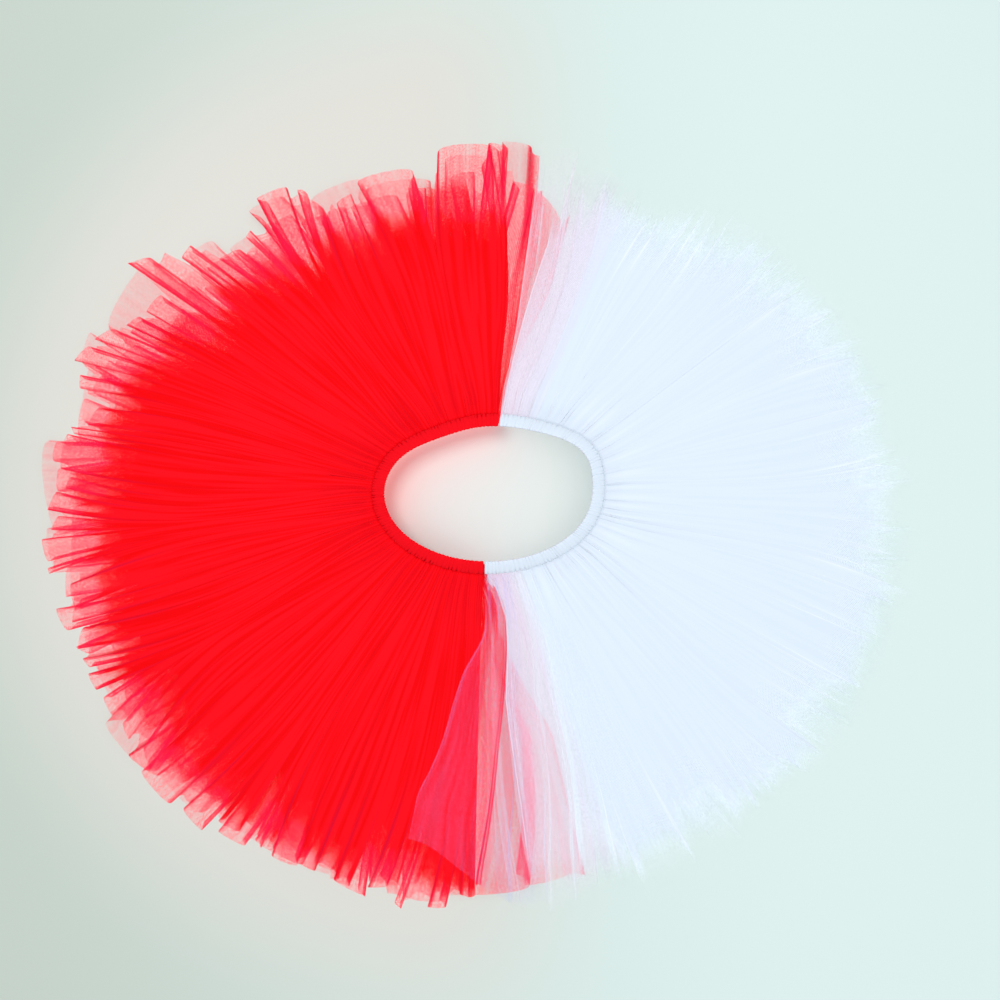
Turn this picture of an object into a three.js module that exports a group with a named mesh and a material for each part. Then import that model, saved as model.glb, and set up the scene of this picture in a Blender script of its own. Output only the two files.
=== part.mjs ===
// A child's tulle tutu skirt, half red and half white, laid out flat in a full circle with its waistband uppermost.
// Millimetres. Z is up and the surface that the skirt lies on is Z = 0. +X is the middle of the white half, and +Y
// is the top of the layout. The skirt is six gathered half circles of tulle, three of each colour, which hang from
// a ruched elastic casing of two halves. Each layer stands behind the casing as a gathered wall, turns outwards
// and lies over the layer below it.
import * as THREE from 'three';

const DEG = Math.PI / 180;

// The waist opening with its elastic relaxed: an oval, fuller at one shoulder.
const WAIST_HALF_WIDTH = 82;
const WAIST_HALF_DEPTH = 53.6;
const WAIST_FULLER_AT = 36;
const WAIST_FULLER_SPREAD = 22;
const WAIST_FULLNESS = 0.1;

// The two side seams, as angles round the waist, and the slit that each leaves on either side.
const BACK_SEAM = 84;
const FRONT_SEAM = 268;
const SEAM_SLIT = 0.35;

// The wall that stands for the tulle with its loft.
const TULLE = 1.5;

// The casing lies on the gathers as a shallow cone with its inner edge raised.
const BAND_WIDTH = 11.8;
const BAND_THICKNESS = 3.4;
const BAND_TILT = 33;
const BAND_OUT = 5.4;
const BAND_HEIGHT = 30.3;
const BAND_PUCKERS = 28;
const PUCKER_HEIGHT = 0.9;
const SCALLOP = 0.35;

// Length of skirt beyond the waist edge, every HEM_STEP degrees: that of the longest layer, and of the topmost one.
const HEM_STEP = 30;
const HEM = [
  { angle: 0, longest: 260, topmost: 240 },
  { angle: 30, longest: 248, topmost: 228 },
  { angle: 60, longest: 221, topmost: 199 },
  { angle: 90, longest: 229, topmost: 192 },
  { angle: 120, longest: 237, topmost: 192 },
  { angle: 150, longest: 260, topmost: 214 },
  { angle: 180, longest: 274, topmost: 236 },
  { angle: 210, longest: 278, topmost: 260 },
  { angle: 240, longest: 278, topmost: 266 },
  { angle: 270, longest: 281, topmost: 266 },
  { angle: 300, longest: 276, topmost: 260 },
  { angle: 330, longest: 272, topmost: 256 },
];

// Each level's section, from under the casing to the hem. A station lies near + share * length from the waist edge.
// low is the height of the bottom of its pleats, rise how far they stand out from there, and facing the way that
// its outer side looks, from 0, away from the waist, to 90, straight up.
const LEVELS = {
  bottom: {
    pleats: 20,
    shorter: 0,
    phase: 0.4,
    section: [
      { near: 2.8, share: 0, low: 28.4, rise: 0.9, facing: 0 },
      { near: 3.2, share: 0, low: 9, rise: 1.2, facing: 10 },
      { near: 9, share: 0, low: TULLE / 2, rise: 1.6, facing: 72 },
      { near: 4, share: 0.25, low: TULLE / 2, rise: 3.4, facing: 90 },
      { near: 2, share: 0.62, low: TULLE / 2, rise: 4.6, facing: 90 },
      { near: 0, share: 1, low: TULLE / 2, rise: 5.4, facing: 90 },
    ],
  },
  middle: {
    pleats: 22,
    shorter: 0.5,
    phase: 2.1,
    section: [
      { near: 6.4, share: 0, low: 26.2, rise: 0.8, facing: 0 },
      { near: 7.6, share: 0, low: 19.5, rise: 1.2, facing: 20 },
      { near: 15, share: 0, low: 13.2, rise: 1.8, facing: 75 },
      { near: 6, share: 0.25, low: 12.4, rise: 3.6, facing: 90 },
      { near: 3, share: 0.62, low: 10.4, rise: 5, facing: 90 },
      { near: 0, share: 1, low: 8.3, rise: 5.8, facing: 90 },
    ],
  },
  top: {
    pleats: 24,
    shorter: 1,
    phase: 3.7,
    section: [
      { near: 9.4, share: 0, low: 24.3, rise: 0.8, facing: 90 },
      { near: 15, share: 0, low: 26.5, rise: 1.6, facing: 108 },
      { near: 30, share: 0, low: 29.4, rise: 3, facing: 94 },
      { near: 6, share: 0.3, low: 28.2, rise: 5, facing: 86 },
      { near: 3, share: 0.65, low: 22.8, rise: 6.5, facing: 86 },
      { near: 0, share: 1, low: 16.3, rise: 7, facing: 86 },
    ],
  },
};

// One pleat: how far along it each corner lies, and whether that corner is up.
const PLEAT_CORNERS = [
  { along: 0, up: 0 },
  { along: 0.24, up: 1 },
  { along: 0.54, up: 1 },
  { along: 0.78, up: 0 },
];
const PLEAT_LEAN = 2;

// How pleats differ: waves that run from pleat to pleat, each with its depth and its step in radians.
const UNEVEN = {
  width: [{ by: 0.28, step: 2.4 }, { by: 0.12, step: 5.1 }],
  height: [{ by: 0.15, step: 1.7 }],
  reach: [{ by: 6, step: 2.1 }, { by: 4, step: 4.3 }],
};

// The last pleats of a layer fan out past its seam, or draw back from it, over this share of the layer.
const FAN_SHARE = 0.2;
const FAN_EASE = 1.5;
const FAN_FULL_AT = 0.55;

// The white top layer's end lies flat over the red one, which is pressed down under it.
const LAP = { full: -85, clear: -77, lift: 5, height: 0.1 };
const PRESSED = { from: 250, full: 259, height: 0.35 };
const LAP_STARTS = 12;
const LAP_RISEN_BY = 24;

// Each layer of tulle: its half, its level, and how far its ends fan at the hem, in degrees.
const LAYERS = [
  { node: 'tulle_red_bottom', half: 'red', level: 'bottom', fanStart: -9, fanEnd: 12.4 },
  { node: 'tulle_red_middle', half: 'red', level: 'middle', fanStart: -1.5, fanEnd: 4 },
  { node: 'tulle_red_top', half: 'red', level: 'top', fanStart: 3.5, fanEnd: 1.5 },
  { node: 'tulle_white_bottom', half: 'white', level: 'bottom', fanStart: 12.6, fanEnd: -9.2 },
  { node: 'tulle_white_middle', half: 'white', level: 'middle', fanStart: 4.2, fanEnd: -1.7 },
  { node: 'tulle_white_top', half: 'white', level: 'top', fanStart: -9.8, fanEnd: -1.2 },
];

const HALVES = {
  red: { start: BACK_SEAM + SEAM_SLIT, end: FRONT_SEAM - SEAM_SLIT, seed: 0 },
  white: { start: FRONT_SEAM - 360 + SEAM_SLIT, end: BACK_SEAM - SEAM_SLIT, seed: 5.3 },
};

const MATERIALS = {
  red: new THREE.MeshStandardMaterial({ name: 'red_tulle', color: 0xf4101b, roughness: 0.8 }),
  white: new THREE.MeshStandardMaterial({ name: 'white_tulle', color: 0xe8f2fb, roughness: 0.8 }),
};
const BAND_MATERIALS = {
  red: new THREE.MeshStandardMaterial({ name: 'red_casing', color: 0xee0f1c, roughness: 0.65 }),
  white: new THREE.MeshStandardMaterial({ name: 'white_casing', color: 0xe6eefa, roughness: 0.65 }),
};

function smooth(from, to, value) {
  const t = Math.min(1, Math.max(0, (value - from) / (to - from)));
  return t * t * (3 - 2 * t);
}

// Half sizes of the waist oval at an angle, with its fuller shoulder.
function waistFullness(angle) {
  const away = ((angle - WAIST_FULLER_AT + 540) % 360) - 180;
  return 1 + WAIST_FULLNESS * Math.exp(-((away / WAIST_FULLER_SPREAD) ** 2));
}

// A point that lies `out` beyond the waist edge, in the direction of `angle`.
function plan(angle, out) {
  const full = waistFullness(angle);
  const x = (WAIST_HALF_WIDTH * full + out) * Math.cos(angle * DEG);
  const y = (WAIST_HALF_DEPTH * full + out) * Math.sin(angle * DEG);
  return new THREE.Vector2(x, y);
}

// The hem table read at any angle, eased between its rows.
function skirtLength(angle, shorter) {
  const turn = (((angle % 360) + 360) % 360) / HEM_STEP;
  const row = HEM[Math.floor(turn) % HEM.length];
  const next = HEM[(Math.floor(turn) + 1) % HEM.length];
  const t = smooth(0, 1, turn - Math.floor(turn));
  const longest = row.longest + (next.longest - row.longest) * t;
  const topmost = row.topmost + (next.topmost - row.topmost) * t;
  return longest + (topmost - longest) * shorter;
}

// How far one pleat differs in one way: its waves added up.
function differs(waves, i, seed) {
  return waves.reduce((sum, { by, step }, k) => sum + by * Math.sin(step * i + (k + 1) * seed), 0);
}

// Uneven pleats: each one's share of the layer, its height and how far its hem runs out. Wide ones stand higher.
function unevenPleats(count, seed) {
  const pleats = [];
  for (let i = 0; i < count; i++) {
    const width = 1 + differs(UNEVEN.width, i, seed);
    const height = Math.min(1, width * (1 - UNEVEN.height[0].by + differs(UNEVEN.height, i, 3 * seed)));
    pleats.push({ width, height, reach: differs(UNEVEN.reach, i, seed) });
  }
  const total = pleats.reduce((sum, pleat) => sum + pleat.width, 0);
  let start = 0;
  for (const pleat of pleats) {
    pleat.width /= total;
    pleat.start = start;
    start += pleat.width;
  }
  return pleats;
}

// Every corner of every pleat as a column: its place along the layer, whether it is up, and its pleat.
function pleatColumns(pleats) {
  const columns = [];
  for (const pleat of pleats) {
    for (const corner of PLEAT_CORNERS) {
      columns.push({ u: pleat.start + corner.along * pleat.width, up: corner.up, pleat });
    }
  }
  columns.push({ u: 1, up: 0, pleat: pleats[pleats.length - 1] });
  return columns;
}

// How much a layer's end fans: nothing at the waist, all of it towards the hem, only near its ends.
function fanAt(layer, u, share) {
  const atStart = Math.max(0, 1 - u / FAN_SHARE) ** FAN_EASE;
  const atEnd = Math.max(0, 1 - (1 - u) / FAN_SHARE) ** FAN_EASE;
  return (layer.fanStart * atStart + layer.fanEnd * atEnd) * smooth(0, FAN_FULL_AT, share);
}

// Where the white top layer laps over the red one: how much it is lifted, and what height is left to the pleats.
function lapAt(layer, angle, out) {
  if (layer.node === 'tulle_white_top') {
    const over = 1 - smooth(LAP.full, LAP.clear, angle);
    const begun = smooth(LAP_STARTS, LAP_RISEN_BY, out);
    return { lift: LAP.lift * over * begun, height: 1 - (1 - LAP.height) * over };
  }
  if (layer.node === 'tulle_red_top') {
    return { lift: 0, height: 1 - (1 - PRESSED.height) * smooth(PRESSED.from, PRESSED.full, angle) };
  }
  return { lift: 0, height: 1 };
}

// The middle of a layer's wall as a grid of points, one row per column of pleat corners, with the way it faces.
function layerGrid(layer) {
  const level = LEVELS[layer.level];
  const half = HALVES[layer.half];
  const columns = pleatColumns(unevenPleats(level.pleats, level.phase + half.seed));
  return columns.map(({ u, up, pleat }) => {
    const waistAngle = half.start + (half.end - half.start) * u;
    return level.section.map((station) => {
      const angle = waistAngle + fanAt(layer, u, station.share);
      const length = skirtLength(angle, level.shorter) + up * pleat.reach;
      const out = station.near + station.share * length;
      const lap = lapAt(layer, angle, out);
      const stand = up * station.rise * pleat.height * lap.height;
      const facing = station.facing * DEG;
      const place = plan(angle, out + stand * Math.cos(facing));
      const leanAngle = (angle + 90) * DEG;
      const lean = up * PLEAT_LEAN * station.share * lap.height;
      return {
        point: new THREE.Vector3(
          place.x + lean * Math.cos(leanAngle),
          place.y + lean * Math.sin(leanAngle),
          station.low + lap.lift + stand * Math.sin(facing),
        ),
        outwards: new THREE.Vector3(
          Math.sin(facing) * Math.cos(angle * DEG),
          Math.sin(facing) * Math.sin(angle * DEG),
          -Math.cos(facing),
        ),
      };
    });
  });
}

// The way from a wall's middle to its outer side at a corner of a pleat: mitred between the two flats that meet
// there, so that both keep their thickness and lie level where the pleat does.
function mitre(grid, i, j) {
  const { point, outwards } = grid[i][j];
  const flats = [];
  if (i > 0) flats.push(point.clone().sub(grid[i - 1][j].point));
  if (i + 1 < grid.length) flats.push(grid[i + 1][j].point.clone().sub(point));
  const [first, last] = flats.map((along) => outwards.clone().cross(along).normalize());
  if (!last) return first;
  return first.clone().add(last).divideScalar(1 + first.dot(last));
}

// A closed wall round a grid: both sides half its thickness away from its middle, and four rims.
function wall(grid, thickness) {
  const columns = grid.length;
  const rows = grid[0].length;
  const positions = [];
  for (const side of [0.5, -0.5]) {
    for (let i = 0; i < columns; i++) {
      for (let j = 0; j < rows; j++) {
        const corner = grid[i][j].point.clone().addScaledVector(mitre(grid, i, j), side * thickness);
        positions.push(corner.x, corner.y, corner.z);
      }
    }
  }
  const upper = (i, j) => i * rows + j;
  const lower = (i, j) => columns * rows + i * rows + j;
  const index = [];
  const rim = (a, b, c, d) => index.push(b, a, c, b, c, d);
  for (let i = 0; i + 1 < columns; i++) {
    for (let j = 0; j + 1 < rows; j++) {
      index.push(upper(i, j), upper(i, j + 1), upper(i + 1, j + 1));
      index.push(upper(i, j), upper(i + 1, j + 1), upper(i + 1, j));
      index.push(lower(i, j), lower(i + 1, j + 1), lower(i, j + 1));
      index.push(lower(i, j), lower(i + 1, j), lower(i + 1, j + 1));
    }
    rim(upper(i + 1, 0), upper(i, 0), lower(i + 1, 0), lower(i, 0));
    rim(upper(i, rows - 1), upper(i + 1, rows - 1), lower(i, rows - 1), lower(i + 1, rows - 1));
  }
  for (let j = 0; j + 1 < rows; j++) {
    const last = columns - 1;
    rim(upper(0, j), upper(0, j + 1), lower(0, j), lower(0, j + 1));
    rim(upper(last, j + 1), upper(last, j), lower(last, j + 1), lower(last, j));
  }
  const geometry = new THREE.BufferGeometry();
  geometry.setAttribute('position', new THREE.Float32BufferAttribute(positions, 3));
  geometry.setIndex(index);
  return geometry;
}

// The casing's section: across from its inner to its outer edge, up through its thickness, and how much each
// corner rises on a pucker. Its underside is plain.
const BAND_SECTION = [
  { across: -1, up: 0, puff: 0.3 },
  { across: -0.8, up: 0.85, puff: 0.8 },
  { across: -0.3, up: 1, puff: 1 },
  { across: 0.3, up: 1, puff: 1 },
  { across: 0.8, up: 0.85, puff: 0.8 },
  { across: 1, up: 0, puff: 0.3 },
  { across: 0.8, up: -1, puff: 0 },
  { across: -0.8, up: -1, puff: 0 },
];

// Half of the ruched casing: its section carried round the waist, raised on every second station.
function casing(half) {
  const tilt = BAND_TILT * DEG;
  const stations = 2 * BAND_PUCKERS;
  const corners = BAND_SECTION.length;
  const positions = [];
  for (let i = 0; i <= stations; i++) {
    const angle = half.start + ((half.end - half.start) * i) / stations;
    const puckered = i % 2;
    for (const { across, up, puff } of BAND_SECTION) {
      const along = (across * BAND_WIDTH) / 2 - (puff > 0 && puff < 0.5 ? puckered * SCALLOP * -across : 0);
      const high = (up * BAND_THICKNESS) / 2 + puff * puckered * PUCKER_HEIGHT;
      const place = plan(angle, BAND_OUT + along * Math.cos(tilt) + high * Math.sin(tilt));
      positions.push(place.x, place.y, BAND_HEIGHT - along * Math.sin(tilt) + high * Math.cos(tilt));
    }
  }
  const index = [];
  for (let i = 0; i < stations; i++) {
    for (let k = 0; k < corners; k++) {
      const next = (k + 1) % corners;
      const [a, b] = [i * corners + k, i * corners + next];
      const [c, d] = [a + corners, b + corners];
      index.push(a, b, c, b, d, c);
    }
  }
  const last = stations * corners;
  for (let k = 1; k + 1 < corners; k++) {
    index.push(0, k + 1, k);
    index.push(last, last + k, last + k + 1);
  }
  const geometry = new THREE.BufferGeometry();
  geometry.setAttribute('position', new THREE.Float32BufferAttribute(positions, 3));
  geometry.setIndex(index);
  return geometry;
}

const skirt = new THREE.Group();
for (const layer of LAYERS) {
  const mesh = new THREE.Mesh(wall(layerGrid(layer), TULLE), MATERIALS[layer.half]);
  mesh.name = layer.node;
  skirt.add(mesh);
}
for (const colour of ['red', 'white']) {
  const mesh = new THREE.Mesh(casing(HALVES[colour]), BAND_MATERIALS[colour]);
  mesh.name = `waistband_${colour}`;
  skirt.add(mesh);
}

// The layout is centred over the origin.
const outline = new THREE.Box3().setFromObject(skirt);
const middle = outline.getCenter(new THREE.Vector3());
skirt.position.set(-middle.x, -middle.y, 0);

export default skirt;
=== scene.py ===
"""A child's tutu skirt of red and white tulle, laid out flat in a full circle and seen from straight above.

Everything is in metres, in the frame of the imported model: Z up, the floor at 0, +X the middle of the
white half and +Y the top of the layout. Round the waist a place is an angle in degrees from +X, and how
far out it lies is counted from the edge of the oval waist opening. Each half of the skirt is four plies of
net, gathered into a ruched casing.
"""
from types import SimpleNamespace

import bmesh
import bpy
import numpy as np
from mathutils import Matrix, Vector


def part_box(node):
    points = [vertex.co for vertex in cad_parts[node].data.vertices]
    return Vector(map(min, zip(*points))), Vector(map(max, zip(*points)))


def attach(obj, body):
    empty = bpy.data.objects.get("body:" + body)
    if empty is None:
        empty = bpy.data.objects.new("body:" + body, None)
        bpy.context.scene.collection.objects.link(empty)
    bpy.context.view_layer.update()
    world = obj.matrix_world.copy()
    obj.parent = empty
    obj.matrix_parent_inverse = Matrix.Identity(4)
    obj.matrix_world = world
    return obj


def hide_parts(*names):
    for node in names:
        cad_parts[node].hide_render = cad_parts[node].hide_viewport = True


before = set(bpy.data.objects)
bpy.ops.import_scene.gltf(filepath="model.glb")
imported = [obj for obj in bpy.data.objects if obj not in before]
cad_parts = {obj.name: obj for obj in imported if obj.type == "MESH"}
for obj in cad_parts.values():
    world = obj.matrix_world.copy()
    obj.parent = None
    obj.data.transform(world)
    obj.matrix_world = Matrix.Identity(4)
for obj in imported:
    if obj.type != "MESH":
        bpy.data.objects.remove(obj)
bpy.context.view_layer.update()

MM = 0.001

# The waist opening: an oval, fuller at one shoulder, with the casing round it.
WAIST_HALF_WIDTH = 82 * MM
WAIST_HALF_DEPTH = 53.6 * MM
WAIST_FULLER_AT = 36
WAIST_FULLER_SPREAD = 22
WAIST_FULLNESS = 0.1
WAIST_FLATTER_AT = 118
WAIST_FLATTER_SPREAD = 22
WAIST_FLATNESS = 0.06
BAND_REACH = 10.77 * MM
RED_BAND_LOW, RED_BAND_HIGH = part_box("waistband_red")
WAIST_X = RED_BAND_LOW[0] + WAIST_HALF_WIDTH + BAND_REACH
WAIST_Y = RED_BAND_HIGH[1] - WAIST_HALF_DEPTH - BAND_REACH

# The two seams between the halves, and how far each half stops short of them.
BACK_SEAM = 84
FRONT_SEAM = 268
SEAM_SLIT = 0.35
HALVES = {
    "red": (BACK_SEAM + SEAM_SLIT, FRONT_SEAM - SEAM_SLIT),
    "white": (FRONT_SEAM - 360 + SEAM_SLIT, BACK_SEAM - SEAM_SLIT),
}

# The camera looks straight down, and its picture is VIEW_WIDTH across at VIEW_LEVEL, the height of the
# tulle.
CAMERA_HEIGHT = 1.5
VIEW_WIDTH = 0.8
VIEW_LEVEL = 22 * MM
VIEW_FROM_WAIST = (9.6 * MM, -5.2 * MM)
SENSOR = 36
VIEW_REACH = 20

# Length of skirt in mm beyond the waist edge, by angle: where the longest ply ends, and where the net is
# dense.
HEM_ANGLE, HEM_LONGEST, HEM_DENSE = np.array(
    [
        (0, 258, 236),
        (30, 246, 224),
        (60, 219, 196),
        (75, 222, 186),
        (90, 226, 178),
        (105, 216, 184),
        (120, 228, 182),
        (135, 232, 190),
        (145, 242, 206),
        (160, 256, 224),
        (180, 266, 239),
        (195, 270, 249),
        (210, 275, 262),
        (240, 278, 267),
        (260, 278, 266),
        (280, 279, 264),
        (300, 274, 258),
        (330, 270, 252),
        (360, 258, 236),
    ],
    dtype=float,
).T


def smooth(low, high, value):
    """0 below low, 1 above high, and eased between them by 3t squared less 2t cubed."""
    t = np.clip((value - low) / (high - low), 0, 1)
    return t * t * (3 - 2 * t)


def degrees_from(middle, angle):
    """How far an angle is from a middle one, from -180 to 180 degrees."""
    return (angle - middle + 540) % 360 - 180


def plan(angle, out):
    """The place in plan of a point that lies out beyond the waist edge.

    It is on an ellipse, fuller at one shoulder and flatter at the other, with its half sizes grown by out.
    """
    from_full = degrees_from(WAIST_FULLER_AT, angle)
    from_flat = degrees_from(WAIST_FLATTER_AT, angle)
    full = 1 + WAIST_FULLNESS * np.exp(-((from_full / WAIST_FULLER_SPREAD) ** 2))
    full = full - WAIST_FLATNESS * np.exp(-((from_flat / WAIST_FLATTER_SPREAD) ** 2))
    x = WAIST_X + (WAIST_HALF_WIDTH * full + out) * np.cos(np.radians(angle))
    y = WAIST_Y + (WAIST_HALF_DEPTH * full + out) * np.sin(np.radians(angle))
    return x, y


def skirt_length(angle, short):
    """The hem table read at any angle: short is 0 for the longest ply and 1 where the net is dense."""
    turned = angle % 360
    longest = np.interp(turned, HEM_ANGLE, HEM_LONGEST)
    dense = np.interp(turned, HEM_ANGLE, HEM_DENSE)
    return (longest + (dense - longest) * short) * MM


def grid_mesh(name, points, around=False):
    """A mesh of quads on a grid of points, closed on itself along its second way where around is true."""
    rows, columns = points.shape[:2]
    number = np.arange(rows * columns).reshape(rows, columns)
    if around:
        number = np.concatenate([number, number[:, :1]], axis=1)
    corners = [number[:-1, :-1], number[:-1, 1:], number[1:, 1:], number[1:, :-1]]
    quads = np.stack(corners, axis=-1).reshape(-1, 4)
    mesh = bpy.data.meshes.new(name)
    mesh.vertices.add(rows * columns)
    mesh.vertices.foreach_set("co", points.astype(np.float32).ravel())
    mesh.loops.add(quads.size)
    mesh.loops.foreach_set("vertex_index", quads.astype(np.int32).ravel())
    mesh.polygons.add(len(quads))
    mesh.polygons.foreach_set("loop_start", np.arange(0, quads.size, 4, dtype=np.int32))
    mesh.polygons.foreach_set("loop_total", np.full(len(quads), 4, dtype=np.int32))
    mesh.update(calc_edges=True)
    mesh.polygons.foreach_set("use_smooth", np.ones(len(quads), dtype=bool))
    return mesh, quads


def add_layer(mesh, name, values):
    """A number for each point of a mesh, which its material reads."""
    layer = mesh.attributes.new(name, "FLOAT", "POINT")
    layer.data.foreach_set("value", values.astype(np.float32).ravel())


def add_uv(mesh, quads, across, along):
    """A UV map in metres of cloth, so that the net keeps its size."""
    uv = np.stack([across.ravel()[quads], along.ravel()[quads]], axis=-1)
    layer = mesh.uv_layers.new(name="cloth")
    layer.data.foreach_set("uv", uv.astype(np.float32).ravel())


def add_piece(name, mesh, material):
    """An object of the skirt, in the scene at the origin."""
    piece = bpy.data.objects.new(name, mesh)
    mesh.materials.append(material)
    bpy.context.scene.collection.objects.link(piece)
    return piece


def add_node(tree, kind, inputs=(), **settings):
    """A shader node: inputs pairs each socket's name or number with a value or another node's output."""
    made = tree.nodes.new(kind)
    for name, value in settings.items():
        setattr(made, name, value)
    for socket, value in dict(inputs).items():
        if isinstance(value, bpy.types.NodeSocket):
            tree.links.new(value, made.inputs[socket])
        else:
            made.inputs[socket].default_value = value
    return made


def add_math(tree, operation, *values, clamp=False):
    """One sum: the output of a Math node."""
    made = add_node(tree, "ShaderNodeMath", enumerate(values), operation=operation, use_clamp=clamp)
    return made.outputs[0]


def add_ramp(tree, value, low, high, to_low=0.0, to_high=1.0):
    """A value eased from to_low at low up to to_high at high."""
    inputs = {"Value": value, "From Min": low, "From Max": high, "To Min": to_low, "To Max": to_high}
    return add_node(tree, "ShaderNodeMapRange", inputs, interpolation_type="SMOOTHSTEP").outputs["Result"]


def add_mix(tree, share, first, second):
    """A colour that runs from first to second as share goes from 0 to 1."""
    return add_node(tree, "ShaderNodeMix", {0: share, 6: first, 7: second}, data_type="RGBA").outputs[2]


def add_noise(tree, place, size, detail):
    """Flat noise on a UV map, its blotches about size across."""
    inputs = {"Vector": place, "Scale": 1 / size, "Detail": detail}
    return add_node(tree, "ShaderNodeTexNoise", inputs, noise_dimensions="2D").outputs["Fac"]


def add_attribute(tree, name):
    """A number that the mesh carries."""
    return add_node(tree, "ShaderNodeAttribute", attribute_name=name).outputs["Fac"]


def make_group(name, takes, gives):
    """A shader node group with named number inputs, their values, and outputs, and its two end nodes."""
    group = bpy.data.node_groups.new(name, "ShaderNodeTree")
    for socket, value in takes.items():
        taken = group.interface.new_socket(name=socket, in_out="INPUT", socket_type="NodeSocketFloat")
        taken.default_value = value
    for socket, kind in gives.items():
        group.interface.new_socket(name=socket, in_out="OUTPUT", socket_type=kind)
    return group, group.nodes.new("NodeGroupInput").outputs, group.nodes.new("NodeGroupOutput").inputs


# The net: a hexagonal mesh with one hole every NET_PITCH, a mottle where its plies cross, and long streaks.
# The streaks thin or thicken a ply by STREAK_EDGE, and most where it hides half of what is behind it.
NET_PITCH = 1.35 * MM
MOTTLE_SIZE = 2.0 * MM
STREAK_ACROSS = 6 * MM
STREAK_ALONG = 130 * MM
STREAK_EDGE = 2.2

# How thick the net is from its holes to its threads, and from one side of its mottle to the other: the two
# ends of a ramp, and the thickness at each.
THREADS = (1.3, -0.9, 0.35, 1.45)
MOTTLED = (0.25, 0.75, 0.72, 1.28)

# A fading hem is ragged by this much, and one that fades over less than SHARP_HEM is cut clean.
HEM_RAGGED = 6 * MM
SHARP_HEM = 0.2 * MM


def make_net_group():
    """How much of what is behind a ply of tulle it hides, and its thin streaks.

    Three waves at 60 degrees to each other add up to a hexagonal mesh, whose holes are where the sum is
    high. A ply hides 1 - (1 - cover) ^ thickness, where the thickness is more on the threads, in the
    mottle and at a crease. Its cover is moved by cover * (1 - cover) * (streak - a half) * STREAK_EDGE.
    Towards a soft hem it fades out.
    """
    takes = {"Cover": 0.2, "Crease": 0.0, "Crease gain": 4.0, "To hem": 0.1, "Soft": 0.0}
    gives = {"Alpha": "NodeSocketFloat", "Streak": "NodeSocketFloat"}
    tree, start, end = make_group("tulle net", takes, gives)
    place = add_node(tree, "ShaderNodeUVMap", uv_map="cloth").outputs["UV"]
    turns = 2 * np.pi / (NET_PITCH * np.cos(np.radians(30)))
    waves = []
    for degrees in (0, 60, 120):
        way = (turns * np.cos(np.radians(degrees)), turns * np.sin(np.radians(degrees)), 0)
        across = add_node(tree, "ShaderNodeVectorMath", {0: place, 1: way}, operation="DOT_PRODUCT")
        waves.append(add_math(tree, "COSINE", across.outputs["Value"]))
    hole = add_math(tree, "ADD", add_math(tree, "ADD", waves[0], waves[1]), waves[2])
    thread = add_ramp(tree, hole, *THREADS)
    mottle = add_noise(tree, place, MOTTLE_SIZE, 1.0)
    mottled = add_ramp(tree, mottle, *MOTTLED)
    stretch = {"Vector": place, "Scale": (1 / STREAK_ACROSS, 1 / STREAK_ALONG, 1)}
    streak = add_noise(tree, add_node(tree, "ShaderNodeMapping", stretch).outputs["Vector"], 1.0, 2.0)
    halfway = add_math(tree, "MULTIPLY", start["Cover"], add_math(tree, "SUBTRACT", 1.0, start["Cover"]))
    streaks = add_math(tree, "MULTIPLY", add_math(tree, "SUBTRACT", streak, 0.5), STREAK_EDGE)
    cover = add_math(tree, "MULTIPLY_ADD", halfway, streaks, start["Cover"], clamp=True)
    doubled = add_math(tree, "MULTIPLY_ADD", start["Crease"], start["Crease gain"], 1.0)
    thick = add_math(tree, "MULTIPLY", add_math(tree, "MULTIPLY", thread, mottled), doubled)
    seen_through = add_math(tree, "POWER", add_math(tree, "SUBTRACT", 1.0, cover), thick)
    hidden = add_math(tree, "SUBTRACT", 1.0, seen_through)
    ragged = add_math(tree, "MULTIPLY_ADD", mottle, HEM_RAGGED, -HEM_RAGGED / 2)
    inside = add_math(tree, "ADD", start["To hem"], ragged)
    soft = add_math(tree, "MAXIMUM", start["Soft"], SHARP_HEM / 2)
    faded = add_math(tree, "DIVIDE", inside, soft, clamp=True)
    fades = add_math(tree, "GREATER_THAN", start["Soft"], SHARP_HEM)
    keep = add_node(tree, "ShaderNodeMix", {0: fades, 2: 1.0, 3: add_ramp(tree, faded, 0.0, 1.0)})
    tree.links.new(add_math(tree, "MULTIPLY", hidden, keep.outputs[0]), end["Alpha"])
    tree.links.new(streak, end["Streak"])
    return tree


# Between which values of the streaks tulle's colour runs from deep to full, and between which covers from
# that of one ply seen through to that of many.
STREAK_SHOWS = (0.36, 0.6)
PLIES_SHOW = (0.3, 0.65)

TULLE_ROUGHNESS = 0.75
CASING_ROUGHNESS = 0.8
CLOTH_SHEEN = 0.04
BLACK = (0, 0, 0, 1)


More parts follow.
